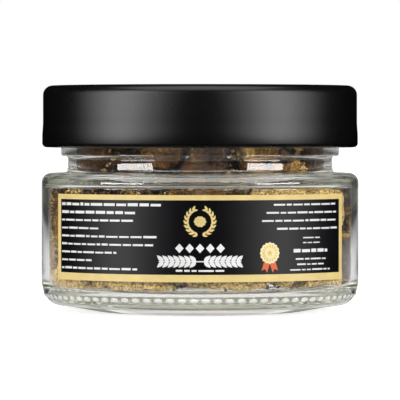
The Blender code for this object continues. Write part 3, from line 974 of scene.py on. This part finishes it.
def carve_slice(mesh, draw):
    """Gives a smooth lump two sawn faces, a warty rind and a rough broken surface."""
    points, normals = read_points(mesh)
    middle = points.mean(axis=0)
    offset = Vector((draw.uniform(0, 50), draw.uniform(0, 50), draw.uniform(0, 50)))
    cut_way = cut_direction(middle, draw)
    along = (points - middle) @ cut_way
    reach = np.abs(along).max()
    level = reach * draw.uniform(0.55, 0.7)
    over = np.abs(along) - level
    sawn = np.clip(over / SAWN_EDGE + 1.0, 0.0, 1.0)
    depth = np.clip(over, 0.0, SAW_DEPTH)
    points = points - np.sign(along)[:, None] * cut_way[None, :] * depth[:, None]
    points, pressed = press_to_glass(points, normals)
    lumps = noise_at(points, LUMP_SIZE, offset)
    rough = noise_at(points, BREAK_SIZE, offset)
    grain = noise_at(points, GRAIN_SIZE, offset, 2)
    # Golden slices lose rind and take the brightest tones: partly golden flesh, partly painted
    # reflection
    golden = is_golden(middle)
    rind_level = noise_at(points, RIND_SIZE, offset, 2)
    rind_level += draw.uniform(-0.45, 0.25) - 0.4 * golden
    rind = np.clip(rind_level * 5 + 0.5, 0, 1) * (1 - 0.9 * sawn)
    wart = np.abs(noise_at(points, WART_SIZE, offset * 1.3, 2))
    drop = 0.12 * MM + 0.55 * MM * lumps + 0.32 * MM * rough * (1 - 0.5 * sawn)
    drop += 0.11 * MM * grain + rind * 0.6 * MM * (0.45 - wart)
    drop = np.clip(drop * (1 - 0.35 * sawn) * (1 - 0.6 * pressed), -0.1 * MM, 1.5 * MM)
    points = points - normals * drop[:, None]
    mesh.vertices.foreach_set("co", points.ravel())
    tone = draw.choice(slice_tones(middle, golden)) + 0.12 * lumps + 0.10 * sawn
    # Painted shade: the tone falls over the neck, where the lid shades the slices
    tone -= NECK_PAINTED_SHADE * np.clip((points[:, 2] - INNER_SHOULDER_Z) / (2 * MM), 0, 1)
    write_attribute(mesh, "rind", rind)
    write_attribute(mesh, "tone", tone)
    mesh.shade_smooth()


def is_golden(middle):
    """True for the slices near the golden places, which get golden flesh and less rind; above the
    label's middle this partly paints the softboxes' reflection in the glass.
    """
    spots = [around(BODY_RADIUS, math.radians(turn - 90), up * MM) for turn, up in GOLDEN_AND_REFLECTION_SPOTS]
    return any((spot - Vector(middle)).length < GOLDEN_REACH for spot in spots)


def slice_tones(middle, golden):
    """Golden slices by the label's edges, brown ones beside it, and all kinds elsewhere."""
    if golden:
        return GOLDEN_TONES
    return BROWN_TONES if middle[1] < 0 and abs(middle[0]) > BESIDE_LABEL else TONES


def inner_wall(height):
    """The inner radius of the glass at each height, with its rounded corners."""
    wall = BODY_RADIUS - WALL
    low = np.clip(FLOOR_Z + FLOOR_CORNER - height, 0, FLOOR_CORNER)
    high = np.clip(height - INNER_SHOULDER_Z + INNER_SHOULDER_CORNER, 0, INNER_SHOULDER_CORNER)
    radius = wall - FLOOR_CORNER + np.sqrt(FLOOR_CORNER ** 2 - low ** 2)
    radius += np.sqrt(INNER_SHOULDER_CORNER ** 2 - high ** 2) - INNER_SHOULDER_CORNER
    return np.where(height > INNER_SHOULDER_Z, BORE_RADIUS, radius)


def press_to_glass(points, normals):
    """Brings the sides that face the glass up against it, as slices packed in a jar lie."""
    radius = np.hypot(points[:, 0], points[:, 1])
    outward = points[:, :2] / np.maximum(radius, MM)[:, None]
    facing = np.clip(((normals[:, :2] * outward).sum(axis=1) - 0.45) / 0.35, 0, 1)
    wall = inner_wall(points[:, 2]) - PRESS_GAP
    near = np.clip((radius - wall) / PRESS_REACH + 2, 0, 1)
    pressed = facing * near
    push = pressed * np.maximum(wall - radius, 0)
    moved = points.copy()
    moved[:, :2] += outward * push[:, None]
    return moved, pressed


def cut_direction(middle, draw):
    """The way across a slice: mostly facing the wall or lying flat, sometimes between."""
    outward = Vector((middle[0], middle[1], 0.0)).normalized()
    upward = Vector((0.0, 0.0, 1.0))
    lean = draw.choice((0.0, 0.0, 0.15, 0.5, 1.0, 1.0))
    way = outward.lerp(upward, lean)
    way += Vector((draw.uniform(-0.3, 0.3), draw.uniform(-0.3, 0.3), draw.uniform(-0.25, 0.25)))
    return np.array(way.normalized())


def make_slices():
    """Every truffle slice from its own solid, then crumbs in the gaps between them."""
    material = truffle_material()
    draw = random.Random(SLICE_SEED)
    names = sorted(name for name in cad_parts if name.startswith("truffle_slice"))
    tree_points, tree_faces = [], []
    for name in names:
        mesh = fine_mesh(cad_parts[name])
        carve_slice(mesh, draw)
        piece = add_object(name.replace("truffle", "dried"), mesh, material)
        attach(piece, "jar")
        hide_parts(name)
        base = len(tree_points)
        tree_points.extend(vertex.co.copy() for vertex in mesh.vertices)
        tree_faces.extend([base + i for i in face.vertices] for face in mesh.polygons)
    make_crumbs(material, BVHTree.FromPolygons(tree_points, tree_faces))


def in_the_glass(point, clear):
    """True if a point is inside the jar by at least a distance."""
    if not FLOOR_CENTRE_Z + clear < point.z < CRUMB_TOP_Z:
        return False
    wall = min(inner_wall(point.z + side * clear) for side in (-1, 0, 1))
    return math.hypot(point.x, point.y) < wall - clear


def crumb_shape(draw):
    """One small broken crumb about the origin, with a radius of 1."""
    shape = bmesh.new()
    bmesh.ops.create_icosphere(shape, subdivisions=2, radius=1.0)
    stretch = Vector((draw.uniform(0.6, 1.0), draw.uniform(0.6, 1.0), draw.uniform(0.45, 0.8)))
    offset = Vector((draw.uniform(0, 99), 0.0, draw.uniform(0, 99)))
    heading = Vector((draw.gauss(0, 1), draw.gauss(0, 1), draw.gauss(0, 1)))
    turn = Vector((1, 0, 0)).rotation_difference(heading).to_matrix()
    for vertex in shape.verts:
        lump = 0.75 + 0.35 * noise.fractal(vertex.co * 1.3 + offset, 0.7, 2.0, 2)
        vertex.co = turn @ (vertex.co * min(1.0, lump) * stretch)
    return shape


def make_crumbs(material, slices):
    """Crumbs and chips wherever there is room between the slices and the glass."""
    draw = random.Random(CRUMB_SEED)
    whole = bmesh.new()
    layers = [whole.verts.layers.float.new(name) for name in ("rind", "tone")]
    placed = 0
    for _ in range(CRUMB_TRIES):
        angle = draw.uniform(0, math.tau)
        size = draw.uniform(0.35, 1.2) * MM
        low, high = draw.choice(CRUMB_BANDS)
        up = draw.uniform(low, high)
        point = around(inner_wall(up) - size - abs(draw.gauss(0.1, 0.7)) * MM, angle, up)
        hit, normal, _, gap = slices.find_nearest(point)
        if (point - hit).dot(normal) < 0 or not NEAREST_CRUMB <= gap <= FARTHEST_CRUMB:
            continue
        size = min(gap + CRUMB_SINK, size)
        if not in_the_glass(point, size + CRUMB_CLEAR):
            continue
        add_crumb(whole, layers, crumb_shape(draw), point, size, draw)
        placed += 1
        if placed >= CRUMB_LIMIT:
            break
    mesh = bpy.data.meshes.new("truffle_crumbs")
    whole.to_mesh(mesh)
    whole.free()
    mesh.shade_smooth()
    crumbs = add_object("truffle_crumbs", mesh, material)
    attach(crumbs, "jar")


def add_crumb(whole, layers, shape, point, size, draw):
    """Adds one crumb to the whole: golden and brown ones lie in patches of their own."""
    patch = noise.noise(point / CRUMB_PATCH)
    rind = 0.9 if draw.random() < 0.35 - 1.6 * patch else 0.0
    tone = draw.choice(GOLDEN_TONES if patch > 0.08 else BROWN_TONES)
    made = {}
    for vertex in shape.verts:
        new = made[vertex.index] = whole.verts.new(point + vertex.co * size)
        new[layers[0]], new[layers[1]] = rind, tone
    for face in shape.faces:
        whole.faces.new([made[vertex.index] for vertex in face.verts])
    shape.free()


def make_camera():
    data = bpy.data.cameras.new("photo_view")
    data.lens = LENS_MM
    data.sensor_width = SENSOR_MM
    data.clip_start = 0.01
    camera = bpy.data.objects.new("photo_view", data)
    bpy.context.scene.collection.objects.link(camera)
    camera.location = (0.0, -CAMERA_DISTANCE, EYE_Z)
    aim = Vector((0.0, 0.0, AIM_Z)) - camera.location
    camera.rotation_euler = aim.to_track_quat("-Z", "Y").to_euler()
    bpy.context.scene.camera = camera


def make_lights(jar, lid, floor):
    """Softboxes left and right of the camera in a white studio.

    The studio is left out of reflections, so that the black lid keeps its dark edges. The clear
    glass gets white cards and strips of its own, and the truffle a soft light from behind.
    """
    pieces = [piece for piece in bpy.data.objects if piece.type == "MESH"]
    solid = [piece for piece in pieces if piece not in (jar, floor)]
    inside = [piece for piece in solid if piece != lid]
    for name, side in (("left_softbox", -1), ("right_softbox", 1)):
        across, toward = side * math.sin(SOFTBOX_TURN), -math.cos(SOFTBOX_TURN)
        for distance, width, glow in SOFTBOX_CARDS:
            place_at = (across * distance, toward * distance, SOFTBOX_HEIGHT)
            area_light(name, place_at, width, SOFTBOX_TALL, glow, solid)
        place_at = (across * STRIP_DISTANCE, toward * STRIP_DISTANCE, STRIP_HEIGHT)
        area_light(name + "_strip", place_at, STRIP_WIDTH, STRIP_TALL, STRIP_GLOW, [jar])
    for row in GLASS_CARDS:
        card = area_light(*row, [jar])
        card.visible_transmission = False
    area_light("back_fill", *BACK_FILL, inside)
    area_light("lid_top_light", *LID_TOP_LIGHT, [lid])
    make_studio()


def make_studio():
    """White walls and ceiling with dark corners between the walls, which edge the glass.

    The walls at the sides are dimmer, so that they don't veil what is in the jar.
    """
    world = bpy.data.worlds.new("white_studio")
    world.use_nodes = True
    tree = world.node_tree
    direction = parts_of(tree, tree.nodes.new("ShaderNodeTexCoord").outputs["Generated"])
    corner = math_node(tree, "MULTIPLY", direction["X"], direction["Y"])
    walls = ramp(tree, math_node(tree, "ADD", corner, 0.5), [
        (0.08, (0.09, 0.09, 0.08)),
        (0.36, (0.20, 0.20, 0.18)),
        (0.50, (1.1, 1.1, 1.09)),
        (0.64, (0.27, 0.27, 0.25)),
        (0.92, (0.13, 0.13, 0.12)),
    ])
    side = math_node(tree, "ABSOLUTE", direction["X"], 0.0)
    dimming = grey_ramp(tree, side, 0.88, 0.98, 1.0, SIDE_SHARE)
    walls = mix_colors(tree, 1.0, walls, dimming, "MULTIPLY")
    ceiling = grey_ramp(tree, direction["Z"], 0.2, 0.5)
    walls = mix_colors(tree, ceiling, walls, (0.84, 0.84, 0.83))
    shade = mix_colors(tree, seen_by_camera(tree), walls, (1.0, 1.0, 1.0))
    tree.links.new(shade, tree.nodes["Background"].inputs["Color"])
    world.cycles_visibility.glossy = False
    bpy.context.scene.world = world
    bpy.context.scene.view_settings.view_transform = "Standard"


def area_light(name, place_at, width, height, glow, pieces):
    """A card that faces the jar and lights some pieces alone, as bright as a wall of this glow."""
    data = bpy.data.lights.new(name, "AREA")
    data.shape = "RECTANGLE"
    data.size = width
    data.size_y = height
    data.energy = math.pi * width * height * glow
    light = bpy.data.objects.new(name, data)
    bpy.context.scene.collection.objects.link(light)
    light.visible_camera = False
    light.location = place_at
    aim = Vector((0.0, 0.0, AIM_Z)) - light.location
    light.rotation_euler = aim.to_track_quat("-Z", "Y").to_euler()
    lit = bpy.data.collections.new(light.name + "_lights")
    for piece in pieces:
        lit.objects.link(piece)
    light.light_linking.receiver_collection = lit
    return light


def make_floor():
    """A plain white floor that glows a little round the jar and is darker at the sides.

    The camera sees all of it as white.
    """
    mesh = bpy.data.meshes.new("floor")
    far = FLOOR_REACH
    corners = [(-far, -far, 0.0), (far, -far, 0.0), (far, far, 0.0), (-far, far, 0.0)]
    mesh.from_pydata(corners, [], [(0, 1, 2, 3)])
    material, tree, shader = new_material("floor_white", (0.8, 0.8, 0.8), 0.8)
    shader.inputs["Specular IOR Level"].default_value = 0.0
    distance = tree.nodes.new("ShaderNodeVectorMath")
    distance.operation = "LENGTH"
    tree.links.new(place(tree), distance.inputs[0])
    near = grey_ramp(tree, distance.outputs["Value"], 0.05, 0.4, FLOOR_GLOW, 0.0)
    side = math_node(tree, "ABSOLUTE", parts_of(tree, place(tree))["X"], 0.0)
    tree.links.new(grey_ramp(tree, side, *FLOOR_SIDE, 0.8, 0.1), shader.inputs["Base Color"])
    white = grey_ramp(tree, side, *FLOOR_SIDE, FLOOR_WHITE, 1.0)
    seen = math_node(tree, "MULTIPLY", seen_by_camera(tree), white)
    glow = math_node(tree, "MAXIMUM", near, seen)
    tree.links.new(glow, shader.inputs["Emission Strength"])
    floor = add_object("floor", mesh, material)
    floor.visible_glossy = False
    return floor


def allow_bounces():
    """Thick glass passes light along inside it, which takes many bounces."""
    settings = bpy.context.scene.cycles
    settings.max_bounces = LIGHT_BOUNCES
    settings.glossy_bounces = settings.transmission_bounces = LIGHT_BOUNCES


def main():
    allow_bounces()
    make_camera()
    floor = make_floor()
    jar = make_jar()
    lid = make_lid()
    make_seal()
    make_label()
    make_slices()
    make_lights(jar, lid, floor)


main()
